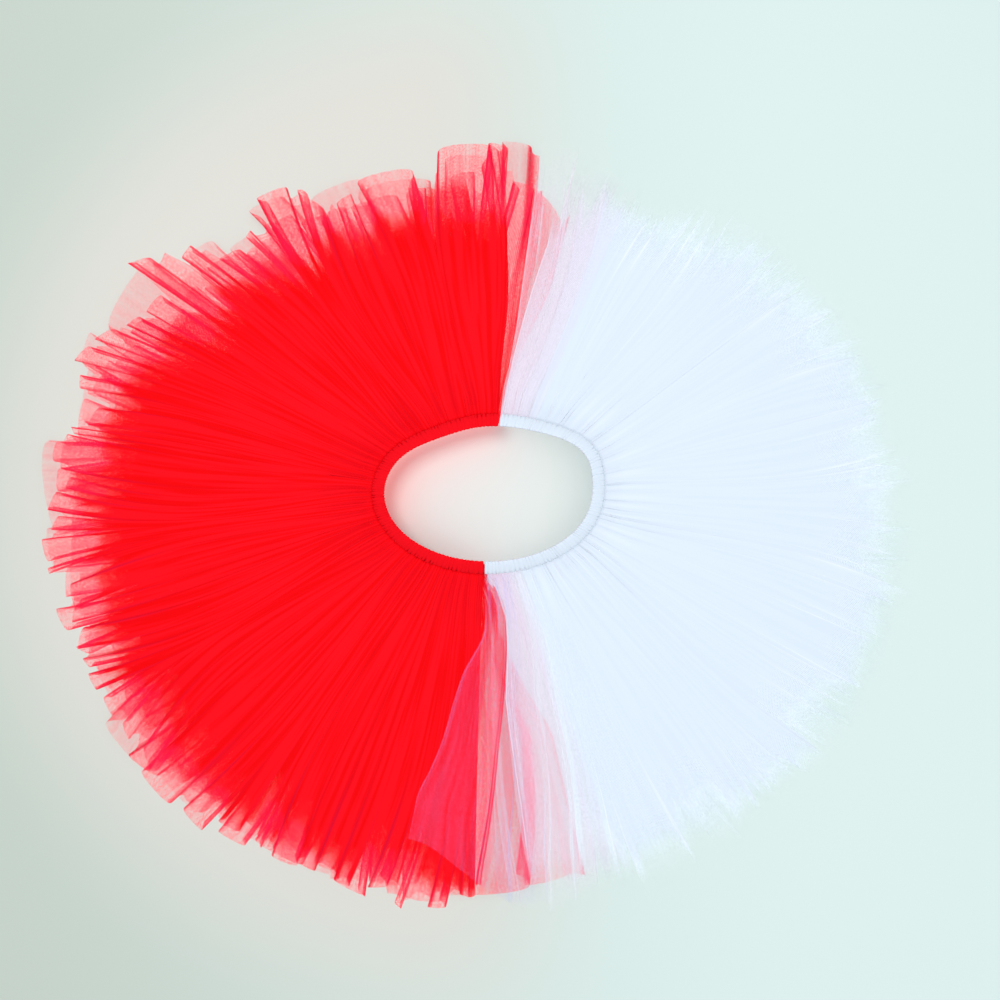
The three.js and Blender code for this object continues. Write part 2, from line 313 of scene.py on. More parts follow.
def make_tulle(
    name, colour, deep, thin, light, shade, crease_gain, net, blush=BLACK, shaded_over_red=BLACK, glow=BLACK
):
    """Tulle: its colour runs from deep to colour in streaks, and along its creases to painted light or
    shade.

    Where one ply is seen through, its colour is thin. Beside a seam it takes on blush, from the other
    half's net, and where it laps over red it takes on a darker bluish colour: painted shade, as that net
    lies in less light there.

    Where a lower ply stands round the waist opening it emits glow, a painted light that stands in for lamp
    light coming through the net.
    """
    material = bpy.data.materials.new(name)
    material.use_nodes = True
    tree = material.node_tree
    skin = tree.nodes["Principled BSDF"]
    crease = add_attribute(tree, "crease")
    cover = add_attribute(tree, "cover")
    inputs = {
        "Cover": cover,
        "Crease": crease,
        "Crease gain": crease_gain,
        "To hem": add_attribute(tree, "to_hem"),
        "Soft": add_attribute(tree, "soft"),
    }
    ply = add_node(tree, "ShaderNodeGroup", inputs, node_tree=net)
    streaked = add_mix(tree, add_ramp(tree, ply.outputs["Streak"], *STREAK_SHOWS), deep, colour)
    streaked = add_mix(tree, add_ramp(tree, cover, *PLIES_SHOW), thin, streaked)
    # Creases run to painted light or painted shade.
    folded = add_mix(tree, add_attribute(tree, "catches"), shade, light)
    lit = add_mix(tree, crease, streaked, folded)
    lit = add_mix(tree, add_attribute(tree, "blush"), lit, blush)
    # Painted shade: white net that laps over red takes a darker bluish colour.
    lit = add_mix(tree, add_attribute(tree, "shaded_over_red"), lit, shaded_over_red)
    tree.links.new(lit, skin.inputs["Base Color"])
    tree.links.new(ply.outputs["Alpha"], skin.inputs["Alpha"])
    # Painted glow: emitted light standing in for lamp light that comes through the net round the waist.
    tree.links.new(add_mix(tree, add_attribute(tree, "glow"), BLACK, glow), skin.inputs["Emission Color"])
    skin.inputs["Emission Strength"].default_value = 1.0
    skin.inputs["Roughness"].default_value = TULLE_ROUGHNESS
    skin.inputs["Specular IOR Level"].default_value = CLOTH_SHEEN
    return material


# The casing's weave: the size of its blotches, how high they stand and how strongly they show.
WEAVE_SIZE = 0.7 * MM
WEAVE_HEIGHT = 0.3 * MM
WEAVE_STRENGTH = 0.4


def make_casing_cloth(name, colour, deep):
    """The casing's cloth: its deep colour is painted shade in the creases between its puckers, and a fine
    weave is in its bump.
    """
    material = bpy.data.materials.new(name)
    material.use_nodes = True
    tree = material.node_tree
    skin = tree.nodes["Principled BSDF"]
    place = add_node(tree, "ShaderNodeUVMap", uv_map="cloth").outputs["UV"]
    weave = add_noise(tree, place, WEAVE_SIZE, 2.0)
    tree.links.new(add_mix(tree, add_attribute(tree, "crease"), colour, deep), skin.inputs["Base Color"])
    raised = {"Height": weave, "Distance": WEAVE_HEIGHT, "Strength": WEAVE_STRENGTH}
    tree.links.new(add_node(tree, "ShaderNodeBump", raised).outputs["Normal"], skin.inputs["Normal"])
    skin.inputs["Roughness"].default_value = CASING_ROUGHNESS
    skin.inputs["Specular IOR Level"].default_value = CLOTH_SHEEN
    return material


# The path of each ply from under the casing to its hem, as stations of (row, near, share, height). A
# station lies near + share * length out, and height is that of the ply's middle there. Near and height
# are in mm.
PATHS = {
    1: [(0, 3.2, 0, 27.8), (3, 3.8, 0, 10.5), (6, 10, 0, 3.2), (14, 4.5, 0.25, 2.8), (32, 0, 1, 2.8)],
    2: [(0, 7.0, 0, 26.5), (3, 8.4, 0, 21.5), (6, 15, 0, 16.0), (14, 6.5, 0.25, 14.2), (32, 0, 1, 10.6)],
    3: [(0, 9, 0, 24.6), (3, 14, 0, 26.4), (6, 22, 0, 28.8), (14, 6, 0.27, 28.8), (32, 0, 1, 17.6)],
    4: [(0, 9.4, 0, 25.8), (3, 12.5, 0, 28.4), (6, 25, 0, 31.6), (14, 7, 0.28, 31.8), (32, 0, 1, 21.6)],
}
PLY_ROWS = 33

# The layer of the part that each level of ply belongs to.
LEVEL_NODES = {1: "bottom", 2: "middle", 3: "top", 4: "top"}
TOP_LEVEL = 4

# The first rows of the lowest plies stand round the waist opening.
WALL_ROWS = 6
WALL_PLIES = 2

# Where the top ply lies so gathered over the others that nothing shows through: between which two
# places inside the dense hem that starts, in each half, and how far it wanders there with the folds. By
# its two seams the white one is sheer up to the first of these shares of the ply, and dense from the
# second.
DENSE_FADES = {"red": (-13 * MM, 19 * MM), "white": (-24 * MM, 30 * MM)}
DENSE_DIP = 7 * MM
SHEER_AT_FRONT = (0.07, 0.16)
SHEER_AT_BACK = (0.01, 0.09)

# The ply under it, the white core, is thinner by the front seam: by how much, and over what share of
# the ply.
WHITE_CORE = ("white", 3)
CORE_THINS = 0.28
CORE_THIN_END = 0.14

# The stretch that stands round the waist has a painted glow, emitted light standing in for lamp light
# through the net, where it faces this angle: not at all at the first of these cosines from it, and fully
# at the second.
LIGHT_FROM = 128
LIGHT_SPREAD = (-0.2, 0.7)

# The white half's blush beside the front seam and the back one: between which shares of the ply it
# fades in, and how strong it is at the back.
BLUSH_AT_FRONT = (0.13, 0.02)
BLUSH_AT_BACK = (0.12, 0.02)
BACK_BLUSH = 0.8

# How high a ply's folds stand from its middle, by row from the casing to the hem.
FOLD_HEIGHT = [(0, 0.5 * MM), (6, 0.7 * MM), (14, 0.9 * MM), (24, 1.3 * MM), (32, 2.3 * MM)]

# One fold is a loop that stands up: where its columns of points are either side of its middle, in
# degrees of its wave, closest together where it turns back. LOOP_TURNS is about where its top panel
# ends.
HALF_STEPS = [24, 46, 58, 72, 92, 112, 125, 138, 156]
FOLD_STEPS = np.radians([-180] + [-step for step in reversed(HALF_STEPS)] + [0] + HALF_STEPS)
LOOP_TURNS = np.radians(58)

# A fold is pressed into creases as its turn grows between these two. The ones under its top panel are
# weaker, and a crease dies out this far from where it turns back, in radians of the wave.
PRESSED_FOLDS = (0.52, 0.75)
UNDER_CREASE = 0.45
CREASE_REACH = 0.6
LEAST_TURN = 0.01

# Creases: how wide one is, how strong along a fold from its start to its hem, and along a ply's two ends.
# White ones fade by CREASE_FADES towards the hem.
CREASE_WIDTH = 0.5 * MM
CREASE_START = 0.25
CREASE_GROWS = 1.1
CREASE_GROWS_OVER = (0.6, 0.9)
CREASE_FADES = 0.75
CREASE_FADES_OVER = (0.75, 0.95)
END_CREASE = 0.8
END_CREASE_OVER = (0.03, 0.2)

# Where creases run from the shade colour to the light one, as shares of the way to the hem.
CATCHES_OVER = {"red": (0.85, 0.6), "white": (0.15, 0.4)}

# Fine gathers at the casing: how many to a fold, how deep they are pleated, over which rows they start and
# over what share of the way to the hem they die out. Then the same for how strongly they show as creases.
GATHERS = 3
GATHER_PLEAT = 0.5 * MM
GATHER_PLEAT_ROWS = (1, 5)
GATHER_PLEAT_OVER = (0.32, 0.04)
GATHER_DEPTH = 0.8
GATHER_SHOWS = (0.3, 0.95)
GATHER_SHOWS_ROWS = (2, 5)
GATHER_SHOWS_OVER = (0.22, 0.02)

# How many times over the gathers lay a ply on itself, at most.
DENSEST = 3.5

# The loops of the red half that reach furthest, as they lie: each one's two edges in degrees at the
# hem, and how far it reaches there in mm. The upper ones are folded sharp, and the lower ones lie wide
# and flat.
UPPER_LOOPS = [
    (88.0, 90.2, 221, 227),
    (90.4, 98.2, 226, 228),
    (100.4, 101.9, 196, 198),
    (102.6, 111.4, 214, 219),
    (112.0, 114.8, 210, 206),
    (117.4, 119.7, 204, 232),
    (120.9, 125.5, 236, 241),
    (126.0, 127.6, 216, 219),
    (128.0, 129.2, 222, 218),
    (132.8, 136.3, 214, 220),
    (136.8, 139.1, 243, 240),
    (142.7, 145.2, 258, 272),
    (147.0, 150.3, 234, 236),
    (150.8, 152.9, 237, 244),
    (154.5, 157.0, 250, 262),
    (158.3, 160.9, 262, 270),
    (162.5, 164.4, 261, 257),
    (166.5, 169.6, 238, 245),
    (170.0, 171.0, 257, 252),
    (171.8, 176.9, 259, 262),
    (177.2, 178.9, 252, 257),
    (180.0, 182.6, 262, 272),
    (183.1, 185.0, 262, 270),
    (186.4, 189.5, 278, 275),
    (189.8, 190.6, 276, 276),
    (193.0, 196.5, 262, 264),
    (196.8, 198.7, 262, 270),
    (199.5, 202.0, 262, 275),
    (203.8, 205.3, 273, 270),
    (206.2, 208.7, 274, 275),
    (210.2, 213.0, 273, 276),
    (214.3, 216.6, 272, 277),
    (218.0, 221.0, 270, 282),
    (222.2, 227.6, 286, 290),
    (228.0, 231.5, 285, 290),
    (232.5, 235.6, 276, 273),
    (238.3, 239.7, 266, 277),
    (240.6, 244.0, 278, 276),
    (244.8, 247.6, 272, 275),
    (249.0, 251.2, 276, 277),
    (253.6, 256.0, 275, 268),
    (257.9, 258.8, 280, 286),
    (262.5, 264.8, 281, 279),
    (266.2, 268.2, 268, 270),
]
LOWER_LOOPS = [
    (75.2, 81.8, 165, 196),
    (82.5, 86.6, 231, 233),
    (88.5, 96.0, 219, 224),
    (100.0, 103.0, 205, 211),
    (103.5, 111.0, 209, 214),
    (112.0, 119.8, 222, 224),
    (120.0, 125.4, 236, 240),
    (131.0, 135.0, 222, 224),
    (135.2, 139.0, 238, 243),
    (139.5, 143.0, 229, 231),
    (145.4, 156.4, 265, 263),
    (156.8, 160.9, 272, 268),
    (161.5, 170.0, 262, 254),
    (172.3, 184.5, 284, 270),
    (185.0, 190.3, 278, 277),
    (191.0, 198.6, 262, 268),
    (200.0, 213.0, 268, 276),
    (214.2, 222.2, 290, 288),
    (223.0, 231.5, 280, 286),
    (232.0, 239.0, 274, 278),
    (239.5, 250.0, 279, 276),
    (251.0, 262.0, 277, 270),
    (262.5, 274.0, 274, 268),
    (274.5, 280.0, 266, 262),
]
LOOPS = {"upper": UPPER_LOOPS, "lower": LOWER_LOOPS}

# Where the plies' ends lie: degrees past their seam, by how far out in mm.
STRAIGHT = [(0, 0), (270, 0.6)]
RED_LAPS_UNDER = [(0, 0), (150, 15.5)]
RED_LAPS_BEHIND = [(0, 0), (150, -9)]
RED_STRIP = [(0, 0), (31, -1.7), (46, -3.0), (75, -3.8), (190, -3.8), (228, -3.2)]
RED_DENSE_AT_BACK = [(0, 0), (38, 0.8), (103, 1.2), (146, 1.7), (230, 3.5)]
RED_BULGE = [
    (0, 0),
    (15, 2.3),
    (24, 6.2),
    (35, 8.6),
    (46, 9.0),
    (77, 7.9),
    (110, 6.4),
    (156, 4.5),
    (211, 3.0),
    (257, 1.7),
    (270, 1.4),
]
WHITE_DRAWN_BACK = [(0, 0), (150, 12.6)]
WHITE_DRAWN_FROM_BACK = [(0, 0), (150, -7)]
WHITE_SET_BACK = [(0, 0), (150, 1.5)]
WHITE_DENSE_AT_BACK = [(0, 0), (150, -5.5)]
WHITE_EDGE = [(0, 0), (31, 0), (46, -1.1), (75, -1.7), (190, -1.6), (228, -1.2)]
WHITE_DENSE_AT_FRONT = [(0, 0), (24, 5.5), (46, 8.0), (77, 7.2), (110, 5.8), (193, 7.0), (271, 7.5)]
WHITE_LAP = [
    (0, -0.1),
    (60, 0.8),
    (70, 0.25),
    (90, -2.7),
    (103, -4.6),
    (120, -5.7),
    (139, -6.5),
    (175, -7.5),
    (204, -8.8),
    (229, -10.2),
]

# Each ply: its level, how many folds it has or which loops place them, how deep they turn back, how
# short it is, how far its hem is uneven in mm, what one thickness of it hides, over how many mm its hem
# fades, and the seed of its unevenness.
PLIES = [
    dict(half="red", level=1, folds="lower", turn=0.75, short=0, ragged=0, cover=0.19, soft=0, seed=11),
    dict(half="red", level=2, folds=40, turn=1.0, short=0.35, ragged=9, cover=0.35, soft=0, seed=14),
    dict(half="red", level=3, folds=24, turn=0.5, short=0.85, ragged=7, cover=0.85, soft=18, seed=15),
    dict(half="red", level=4, folds="upper", turn=1.05, short=0, ragged=0, cover=0.38, soft=0, seed=16),
    dict(half="white", level=1, folds=22, turn=0.75, short=0.05, ragged=6, cover=0.1, soft=24, seed=21),
    dict(half="white", level=2, folds=36, turn=0.95, short=0.3, ragged=7, cover=0.11, soft=24, seed=24),
    dict(half="white", level=3, folds=22, turn=0.5, short=0.9, ragged=6, cover=0.6, soft=40, seed=25),
    dict(half="white", level=4, folds=34, turn=1.0, short=0.2, ragged=7, cover=0.11, soft=24, seed=26),
]

# How each ply's first and last end lie.
ENDS = {
    ("red", 1): (RED_LAPS_BEHIND, RED_LAPS_UNDER),
    ("red", 2): (RED_STRIP, RED_BULGE),
    ("red", 3): (RED_DENSE_AT_BACK, STRAIGHT),
    ("red", 4): (RED_DENSE_AT_BACK, STRAIGHT),
    ("white", 1): (WHITE_DRAWN_BACK, WHITE_DRAWN_FROM_BACK),
    ("white", 2): (WHITE_SET_BACK, WHITE_EDGE),
    ("white", 3): (WHITE_DENSE_AT_FRONT, WHITE_DENSE_AT_BACK),
    ("white", 4): (WHITE_LAP, WHITE_EDGE),
}

# A ply's drawn end carries this share of the ply with it, less and less by this power.
FAN_SHARE = 0.2
FAN_EASE = 1.5

# The front end of the white top ply laps flat over the upper red ones, which are pressed down under it.
# The lap is LAP_WIDTH of the ply, fades out by LAP_FADES, and is short at its end by the first of
# LAP_SHORT, less and less over the second. The red middle ply bulges up beside it.
LAP_ANGLES = (-85, -77)
LAP_LIFT = 5 * MM
LAP_STARTS = (12 * MM, 24 * MM)
LAP_SHORT = (50 * MM, 0.075)
LAP_WIDTH = 0.062
LAP_FADES = 1.4 * LAP_WIDTH
LAP_SHEER = 0.5
LAP_FLATTENS = 0.9
PRESSED_ANGLES = (250, 259)
PRESSED_FLATTENS = 0.65
LAPPING = ("white", 4)
LAPPED = [("red", 3), ("red", 4)]
BULGING = ("red", 2)
BULGE_LIFT = 4.5 * MM
BULGE_FROM = (0.95, 0.985)
BULGE_RISES = (0.02, 0.12)
BULGE_FALLS = (0.95, 0.7)

# The back end of the red middle ply is a strip, shorter than the rest.
STRIP_SHORT = 30 * MM

# The red bottom ply lies doubled where it starts to lap under the white half: the two angles, how many
# degrees from them it is single again and fully doubled, and how much more it hides there.
DOUBLED = ("red", 1)
DOUBLED_AT = (272.5, 78.5)
DOUBLED_FADES = (6.5, 3)
DOUBLED_COVER = 0.25

# How uneven the folds are: the range that each of a fold's values is drawn from, or the spread of its
# slant. Slants, dips and the dense edge are in mm, and the rest are shares. PLACED values are for the
# loops above.
FOLD_WIDTH = (0.4, 1.0)
FOLD_WIDTH_EASE = 1.5
LEAST_WIDTH = 0.22
TOP_PANEL = (0.3, 0.52)
PLACED_TOP_PANEL = (0.12, 0.56)
HEM_SLANT = 3
HEM_DIP = {"red": (3, 26), "white": (1.2, 10.4)}
PLACED_DIP = (14, 40)
PLACED_DIP_BY_WIDTH = 400
FOLD_TURN = (0.75, 1.15)
FOLD_LEAN = (-0.12, 0.12)
FOLD_TALL = (0.6, 1.2)
FOLD_CRISP = (0.2, 1.0)
PLACED_CRISP_EASE = 0.5
FOLD_DENSE = (-24, 12)

# Where the hem is looked up for the placed loops: at how many places, and about how far out it is.
HEM_PLACES = 2001
ABOUT_HEM = 0.25

# How far a ply wanders sideways in degrees, in its middle and at a free hem, how many sines add up to
# that and to the clumps of its hem, and how often one goes up and down along a ply.
SWAY = 2.6
SWAY_AT_HEM = 1.2
SWAY_AT_HEM_EASE = 1.3
SWAY_WAVES = 4
CLUMP_WAVES = 5
WANDER_TURNS = (1.5, 9)

# Folds straighten out within this share of a ply's ends.
PLAIN_END = 0.02

# How narrow the dips of the hem between two loops are.
DIP_EASE = 1.5

# A fold turns back less near the casing: its share of the turn there, and where it is whole.
TURN_AT_CASING = 0.7
TURN_WHOLE = 0.3

# The lowest that any net lies above the floor.
LEAST_HEIGHT = 0.4 * MM


def drifting(rng, count, size, u):
    """A slow wander along a ply: count sines of different lengths and phases, size deep in all."""
    turns = rng.uniform(*WANDER_TURNS, count)
    phases = rng.uniform(0, 2 * np.pi, count)
    return sum(np.sin(2 * np.pi * t * u + p) for t, p in zip(turns, phases)) * size / np.sqrt(count)


def fan_angle(ply, u, out):
    """The angle of a point of a ply: even along it, its ends drawn past their seams or back from them."""
    first, last = HALVES[ply["half"]]
    start, end = (np.array(table, dtype=float).T for table in ENDS[ply["half"], ply["level"]])
    near_start = np.maximum(0, 1 - u / FAN_SHARE) ** FAN_EASE
    near_end = np.maximum(0, 1 - (1 - u) / FAN_SHARE) ** FAN_EASE
    at_start = near_start * np.interp(out / MM, *start)
    at_end = near_end * np.interp(out / MM, *end)
    return first + (last - first) * u + at_start + at_end


def placed_folds(ply, rng):
    """Folds laid where the tables place them, each of them ending halfway to the loops beside it."""
    low, high, reach_low, reach_high = np.array(LOOPS[ply["folds"]], dtype=float).T
    u = np.linspace(0, 1, HEM_PLACES)
    at_hem = fan_angle(ply, u, skirt_length(fan_angle(ply, u, ABOUT_HEM), 0))
    low, high = np.interp(low, at_hem, u), np.interp(high, at_hem, u)
    edges = np.concatenate([[0], (high[:-1] + low[1:]) / 2, [1]])
    width = np.diff(edges)
    return dict(
        start=edges[:-1],
        width=width,
        half=np.clip((high - low) / 2 / width, *PLACED_TOP_PANEL),
        reach=(reach_low + reach_high) / 2 * MM,
        slant=(reach_high - reach_low) / 2 * MM,
        dip=np.clip(rng.uniform(*PLACED_DIP, len(low)), 0, PLACED_DIP_BY_WIDTH * width) * MM,
    )


def free_folds(ply, rng):
    """Folds of uneven widths, with the strip at the back end cut short and the lap a wide one."""
    count = ply["folds"]
    width = rng.uniform(*FOLD_WIDTH, count) ** FOLD_WIDTH_EASE + LEAST_WIDTH
    width /= width.sum()
    folds = dict(
        start=np.cumsum(width) - width,
        width=width,
        half=rng.uniform(*TOP_PANEL, count),
        reach=rng.normal(0, ply["ragged"] * MM, count),
        slant=rng.normal(0, HEM_SLANT * MM, count),
        dip=rng.uniform(*HEM_DIP[ply["half"]], count) * MM,
    )
    which = (ply["half"], ply["level"])
    if which == BULGING:
        folds["reach"][0] -= STRIP_SHORT
    if which == LAPPING:
        folds["width"][0] = LAP_WIDTH
        folds["width"][1:] *= (1 - LAP_WIDTH) / folds["width"][1:].sum()
        folds["start"] = np.cumsum(folds["width"]) - folds["width"]
    return folds


def folds_of(ply, rng):
    """A ply's folds, as arrays with a value for each.

    They say where it starts and how wide it is as shares of the ply, the half width of its top panel as
    a share of its width, how far it reaches, how its hem slants and drops beside it, how far it turns
    back, leans and stands, how crisp it is, where its gathers start, and how far out it is dense.
    """
    placed = ply["folds"] in LOOPS
    folds = placed_folds(ply, rng) if placed else free_folds(ply, rng)
    count = len(folds["start"])
    folds["turn"] = ply["turn"] * rng.uniform(*FOLD_TURN, count)
    folds["lean"] = rng.uniform(*FOLD_LEAN, count)
    folds["tall"] = rng.uniform(*FOLD_TALL, count)
    folds["crisp"] = rng.uniform(*FOLD_CRISP, count) ** (PLACED_CRISP_EASE if placed else 1)
    folds["tucks"] = rng.uniform(0, 2 * np.pi, count)
    folds["dense"] = rng.uniform(*FOLD_DENSE, count) * MM
    return folds


def turned_back(wave, turn, wide):
    """How far a point of a fold lies along it, in radians of its wave: w + turn * sin 2w + wide * sin w."""
    return wave + turn * np.sin(2 * wave) + wide * np.sin(wave)


def crease_lines(wave, turn, wide, across):
    """How near a point is to where its fold turns back: sharp at the top panel's edges, and weaker below.

    A fold turns back where the slope of turned_back is nil. Each line is e ^ -(distance ^ 2).
    """
    root = np.sqrt(np.maximum(wide**2 + 16 * turn * (2 * turn - 1), 0))
    turn = np.maximum(turn, LEAST_TURN)
    lines = 0
    for sign, strength in ((1, 1.0), (-1, UNDER_CREASE)):
        at = np.arccos(np.clip((sign * root - wide) / (8 * turn), -1, 1))
        from_edge = turned_back(np.abs(wave), turn, wide) - turned_back(at, turn, wide)
        away = across * from_edge / CREASE_WIDTH
        lines = lines + strength * np.exp(-(away**2) - ((np.abs(wave) - at) / CREASE_REACH) ** 4)
    return lines * smooth(*PRESSED_FOLDS, turn)


def ply_shape(ply):
    """A ply of net: its points, and where each of them lies on the ply and its folds.

    Its middle runs out from the casing to the hem along its level's path. Each fold is a loop that
    stands on it: with w the fold's wave from -180 to 180 degrees, a point goes up by cos w of the
    fold's height, and sideways by turn * sin 2w + wide * sin w, so that the sides of the loop turn back
    under its top panel.
    """
    rng = np.random.default_rng(ply["seed"])
    folds = folds_of(ply, rng)
    count = len(folds["start"])
    number = np.append(np.repeat(np.arange(count), len(FOLD_STEPS)), count - 1)
    fold = SimpleNamespace(**{name: values[number][:, None] for name, values in folds.items()})
    wave = np.append(np.tile(FOLD_STEPS, count), np.pi)[:, None]
    path = np.array(PATHS[ply["level"]], dtype=float)
    row = np.arange(PLY_ROWS)[None, :]
    near = np.interp(row, path[:, 0], path[:, 1]) * MM
    share = np.interp(row, path[:, 0], path[:, 2])
    height = np.interp(row, path[:, 0], path[:, 3]) * MM
    rise = np.interp(row, *zip(*FOLD_HEIGHT)) * fold.tall
    u = fold.start + fold.width * (wave / (2 * np.pi) + 0.5)
    edge = smooth(0, PLAIN_END, u) * smooth(0, PLAIN_END, 1 - u)
    placed = ply["folds"] in LOOPS
    sway = drifting(rng, SWAY_WAVES, SWAY, u) * np.sin(np.pi * share)
    sway = sway + drifting(rng, SWAY_WAVES, SWAY_AT_HEM, u) * share**SWAY_AT_HEM_EASE * (not placed)
    first, last = HALVES[ply["half"]]
    turn = fold.turn * (TURN_AT_CASING + (1 - TURN_AT_CASING) * smooth(0, TURN_WHOLE, share))
    wide = (2 * np.pi * fold.half - LOOP_TURNS - turn * np.sin(2 * LOOP_TURNS)) / np.sin(LOOP_TURNS)
    which = (ply["half"], ply["level"])
    lapping = which == LAPPING
    folded = 1 - (u <= LAP_WIDTH) * lapping
    turn, wide = turn * folded, wide * folded
    leaning = fold.lean * folded * (1 + np.cos(wave)) * fold.width
    side = (turned_back(wave, turn, wide) - wave) * fold.width / (2 * np.pi) + leaning
    v = np.clip(u + side * edge, 0, 1)
    about = near + share * skirt_length(first + (last - first) * u, ply["short"])
    angle = fan_angle(ply, v, about) + sway * edge
    clump = 0 if placed else drifting(rng, CLUMP_WAVES, ply["ragged"] * MM, u)
    length = fold.reach + clump + (0 if placed else skirt_length(angle, ply["short"]))
    between = ((1 - np.cos(wave)) / 2) ** DIP_EASE
    length = length + fold.slant * folded * np.sin(wave) - fold.dip * folded * between * edge
    stand = rise * np.cos(wave)
    lifted = 0
    if lapping:
        lapped = 1 - smooth(*LAP_ANGLES, angle)
        length = length - LAP_SHORT[0] * (1 - smooth(0, LAP_SHORT[1], u))
        lifted = LAP_LIFT * lapped * smooth(*LAP_STARTS, about)
        stand = stand * (1 - LAP_FLATTENS * lapped)
    if which in LAPPED:
        stand = stand * (1 - PRESSED_FLATTENS * smooth(*PRESSED_ANGLES, angle))
    if which == BULGING:
        lifted = BULGE_LIFT * smooth(*BULGE_FROM, u)
        lifted = lifted * smooth(*BULGE_RISES, share) * smooth(*BULGE_FALLS, share)
    out = near + share * length
    pleated = np.cos(GATHERS * wave + fold.tucks)
    gathering = GATHER_PLEAT * pleated * smooth(*GATHER_PLEAT_OVER, share) * smooth(*GATHER_PLEAT_ROWS, row)
    stand = stand + gathering
    tangent_out, tangent_up = np.gradient(out, axis=1), np.gradient(height, axis=1) + 0 * out
    size = np.hypot(tangent_out, tangent_up)
    x, y = plan(angle, out - stand * tangent_up / size)
    z = height + lifted + stand * tangent_out / size
    points = np.stack([x, y, np.maximum(z, LEAST_HEIGHT)], axis=-1)
    at = SimpleNamespace(
        u=u,
        wave=wave,
        row=row,
        share=share,
        turn=turn,
        wide=wide,
        fold=fold,
        out=out,
        length=length,
        angle=angle,
        about_waist=np.radians(last - first) * (out + WAIST_HALF_WIDTH),
        pleated=pleated,
        flat=smooth(LAP_FADES, LAP_WIDTH, u) * lapping,
    )
    return points, at


def ply_creases(ply, at):
    """How strong a crease runs through each point of a ply: at its folds, its gathers and its two ends."""
    # A crease thickens the net, and the tulle's material paints light or shade along it.
    across = at.fold.width / (2 * np.pi) * at.about_waist
    along = CREASE_START + CREASE_GROWS * smooth(*CREASE_GROWS_OVER, at.share)
    crease = crease_lines(at.wave, at.turn, at.wide, across) * at.fold.crisp * along
    gathers = smooth(*GATHER_SHOWS, -at.pleated) * smooth(*GATHER_SHOWS_ROWS, at.row)
    crease = np.maximum(crease, GATHER_DEPTH * (gathers * smooth(*GATHER_SHOWS_OVER, at.share)))
    from_end = np.minimum(at.u, 1 - at.u) * at.about_waist
    at_end = np.exp(-((from_end / CREASE_WIDTH) ** 2)) * smooth(*END_CREASE_OVER, at.share)
    crease = np.maximum(crease, END_CREASE * at_end)
    if ply["half"] == "white":
        crease = crease * (1 - CREASE_FADES * smooth(*CREASE_FADES_OVER, at.share))
    return crease


def ply_cover(ply, at, wall):
    """What a ply hides at each of its points.

    It is 1 - (1 - one thickness) ^ how many times over it is gathered, and everything in its dense core and
    where it stands round the waist opening.
    """
    gathered = np.clip((WAIST_HALF_WIDTH + at.length) / (WAIST_HALF_WIDTH + at.out), 1, DENSEST)
    gathered = 1 + (gathered - 1) * (1 - at.flat)
    inside = skirt_length(at.angle, 1) - at.out + at.fold.dense - DENSE_DIP * np.cos(2 * at.wave)
    core = smooth(*DENSE_FADES[ply["half"]], inside) * (ply["level"] == TOP_LEVEL)
    if ply["half"] == "white":
        core = core * smooth(*SHEER_AT_FRONT, at.u) * smooth(*SHEER_AT_BACK, 1 - at.u)
    thickness = ply["cover"]
    if (ply["half"], ply["level"]) == DOUBLED:
        near = [smooth(*DOUBLED_FADES, np.abs(at.angle - middle)) for middle in DOUBLED_AT]
        thickness = thickness + DOUBLED_COVER * sum(near)
    hidden = 1 - (1 - thickness) ** (gathered * (1 - LAP_SHEER * at.flat))
    if (ply["half"], ply["level"]) == WHITE_CORE:
        hidden = hidden * (1 - CORE_THINS * smooth(CORE_THIN_END, 0, at.u))
    return np.maximum(hidden, np.maximum(core, wall))


def ply_looks(ply, at):
    """What a ply's material reads at each of its points."""
    everywhere = np.ones_like(at.out)
    wall = smooth(WALL_ROWS + 1, WALL_ROWS - 1, at.row) * (ply["level"] <= WALL_PLIES) * everywhere
    to_light = np.cos(np.radians(at.angle - LIGHT_FROM))
    blush = 0
    if ply["half"] == "white":
        blush = np.maximum(smooth(*BLUSH_AT_FRONT, at.u), BACK_BLUSH * smooth(*BLUSH_AT_BACK, 1 - at.u))
    return dict(
        crease=ply_creases(ply, at),
        cover=ply_cover(ply, at, wall),
        to_hem=(1 - at.share) * at.length,
        soft=ply["soft"] * MM * (1 - at.flat) * everywhere,
        catches=smooth(*CATCHES_OVER[ply["half"]], at.share) * everywhere,
        shaded_over_red=at.flat * (1 - smooth(*LAP_ANGLES, at.angle)) * everywhere,
        glow=wall * smooth(*LIGHT_SPREAD, to_light),
        blush=blush * everywhere,
    )


# How far the tulle's shading leans from its folds towards straight up, because a net catches light from all
# sides, and the rows over which that starts.
EVEN_LIGHT = 0.92
EVEN_ROWS = (WALL_ROWS - 2, WALL_ROWS + 4)
LEAST_LENGTH = 1e-12


def shade_evenly(mesh, points, quads):
    """Normals for each corner of the net.

    They are its fold's, leaned towards straight up, or down where the face is turned over. The stretch that
    stands round the waist opening keeps its own.
    """
    normal = np.cross(np.gradient(points, axis=1), np.gradient(points, axis=0))
    normal /= np.maximum(np.linalg.norm(normal, axis=-1, keepdims=True), LEAST_LENGTH)
    at_corner = normal.reshape(-1, 3)[quads]
    facing = np.sign(at_corner.sum(axis=1, keepdims=True)[..., 2:])
    upright = np.concatenate([0 * facing, 0 * facing, facing], axis=-1)
    row = (quads % PLY_ROWS)[..., None]
    lean = EVEN_LIGHT * smooth(*EVEN_ROWS, row)
    leaned = at_corner * (1 - lean) + upright * lean
    leaned /= np.linalg.norm(leaned, axis=-1, keepdims=True)
    mesh.normals_split_custom_set(leaned.reshape(-1, 3).tolist())


